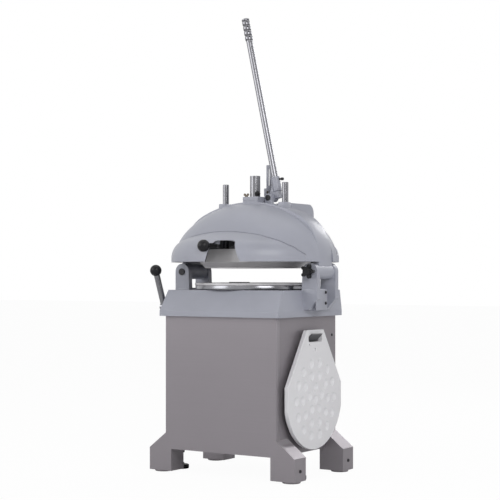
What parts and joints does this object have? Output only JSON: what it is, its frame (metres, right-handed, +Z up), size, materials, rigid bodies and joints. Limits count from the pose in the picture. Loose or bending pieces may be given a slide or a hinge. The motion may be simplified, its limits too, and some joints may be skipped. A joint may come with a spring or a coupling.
{
  "type": "divider rounder",
  "caption": "Floor-standing divider rounder: hinged bell head with a pressing lever and flared dividing ring over an orbiting table, on a sheet-steel cabinet with splayed legs.",
  "frame": {"origin": "on the floor under the middle of the machine", "axes": "+X to the right of the front, -Y towards the user, +Z up"},
  "size_m": [0.746, 0.7819, 1.9932],
  "materials": {
    "cabinet_steel": "brushed",
    "paint": "smooth satin paint",
    "bright_steel": "polished",
    "black_plastic": "moulded",
    "dark_steel": "blackened",
    "dark_cast": "painted",
    "bronze": "turned",
    "belt": "matte",
    "white_plastic": "moulded"
  },
  "bodies": {
    "base": {"base_frame": "dark_cast", "front_panel": "cabinet_steel", "rear_panel": "cabinet_steel", "left_panel": "cabinet_steel", "right_panel": "cabinet_steel", "leg_boxes": "cabinet_steel", "leg_glides": "cabinet_steel", "leg_bolts": "dark_steel", "foot_pads": "black_plastic", "foot_spindles": "bright_steel", "foot_nuts": "dark_steel", "cable_gland": "black_plastic", "skirt": "paint", "deck_plate": "dark_cast", "left_bracket": "paint", "right_bracket": "paint", "bracket_bolts": "dark_steel", "hinge_pin": "dark_steel", "shaft_bearing": "dark_cast", "idler_bearings": "dark_cast", "motor_plate": "dark_cast", "motor": "dark_cast", "drive_belt": "belt", "plate_hook": "cabinet_steel"},
    "clamp": {"star_knob": "black_plastic", "clamp_screw": "dark_steel"},
    "head": {"yoke": "paint", "hinge_bush": "bronze", "bell_front": "paint", "bell_rear": "paint", "strut_housing": "paint", "rod_pads": "paint", "top_block": "paint", "lever_lugs": "paint", "fulcrum_pin": "dark_steel"},
    "lever": {"lever_socket": "paint", "lever_tube": "bright_steel", "lever_grip": "bright_steel", "crank_pin": "bronze"},
    "press": {"press_link": "bright_steel", "main_post": "bright_steel", "guide_rods": "bright_steel", "press_plate": "bright_steel", "dividing_ring": "bright_steel", "knife_grid": "bright_steel"},
    "setting": {"setting_arm": "dark_steel", "setting_ball": "black_plastic"},
    "wing": {"wing_nut": "bronze"},
    "lock": {"lock_knob": "black_plastic"},
    "shaft": {"main_shaft": "bright_steel", "driven_pulley": "dark_cast"},
    "table": {"table": "bright_steel", "table_stop": "black_plastic"},
    "left_idler": {"left_idler": "bright_steel"},
    "right_idler": {"right_idler": "bright_steel"},
    "rotor": {"motor_rotor": "bright_steel"},
    "rounding": {"rounding_shaft": "bright_steel", "rounding_rod": "bright_steel", "rounding_ball": "black_plastic"},
    "plate": {"moulding_plate": "white_plastic"}
  },
  "joints": [
    {"name": "head_tilt", "type": "hinge", "parent": "base", "child": "head", "pos_m": [-0.331, 0.025, 0.867], "axis": [0, -1, 0], "range_deg": [0, 75]},
    {"name": "clamp_turn", "type": "hinge", "parent": "base", "child": "clamp", "pos_m": [0.331, -0.045, 0.867], "axis": [0, 1, 0], "range_deg": [-180, 180]},
    {"name": "main_lever", "type": "hinge", "parent": "head", "child": "lever", "pos_m": [0.0635, 0.07, 1.189], "axis": [0, -1, 0], "range_deg": [0, 75]},
    {"name": "press_slide", "type": "slide", "parent": "head", "child": "press", "axis": [0, 0, -1], "range_m": [0, 0.055], "stiffness_N_per_m": 5000, "springref_m": -0.14},
    {"name": "setting_lever", "type": "hinge", "parent": "head", "child": "setting", "pos_m": [0, -0.265, 0.973], "axis": [0, 0, 1], "range_deg": [0, 28]},
    {"name": "wing_turn", "type": "hinge", "parent": "head", "child": "wing", "pos_m": [-0.028, -0.002, 1.19], "axis": [0, 0, 1], "range_deg": [-180, 180]},
    {"name": "lock_turn", "type": "hinge", "parent": "head", "child": "lock", "pos_m": [0.03, -0.002, 1.19], "axis": [0, 0, 1], "range_deg": [-180, 180]},
    {"name": "shaft_spin", "type": "hinge", "parent": "base", "child": "shaft", "pos_m": [-0.015, 0.025, 0.7], "axis": [0, 0, 1], "continuous": true},
    {"name": "table_orbit", "type": "hinge", "parent": "shaft", "child": "table", "pos_m": [0, 0.025, 0.8], "axis": [0, 0, 1], "continuous": true},
    {"name": "left_idler_spin", "type": "hinge", "parent": "base", "child": "left_idler", "pos_m": [-0.165, 0.025, 0.7], "axis": [0, 0, 1], "continuous": true},
    {"name": "right_idler_spin", "type": "hinge", "parent": "base", "child": "right_idler", "pos_m": [0.135, 0.025, 0.7], "axis": [0, 0, 1], "continuous": true},
    {"name": "motor_spin", "type": "hinge", "parent": "base", "child": "rotor", "pos_m": [-0.015, -0.14, 0.6], "axis": [0, 0, 1], "continuous": true},
    {"name": "rounding_lever", "type": "hinge", "parent": "base", "child": "rounding", "pos_m": [-0.322, -0.207, 0.714], "axis": [-1, 0, 0], "range_deg": [0, 40]},
    {"name": "plate_lift", "type": "slide", "parent": "base", "child": "plate", "axis": [0.7071, 0, 0.7071], "range_m": [0, 0.06]}
  ],
  "couplings": [
    {"joint": "press_slide", "follows": "main_lever", "m_per_rad": 0.042},
    {"joint": "table_orbit", "follows": "shaft_spin", "ratio": -1},
    {"joint": "left_idler_spin", "follows": "shaft_spin", "ratio": 1},
    {"joint": "right_idler_spin", "follows": "shaft_spin", "ratio": 1},
    {"joint": "motor_spin", "follows": "shaft_spin", "ratio": 3}
  ]
}
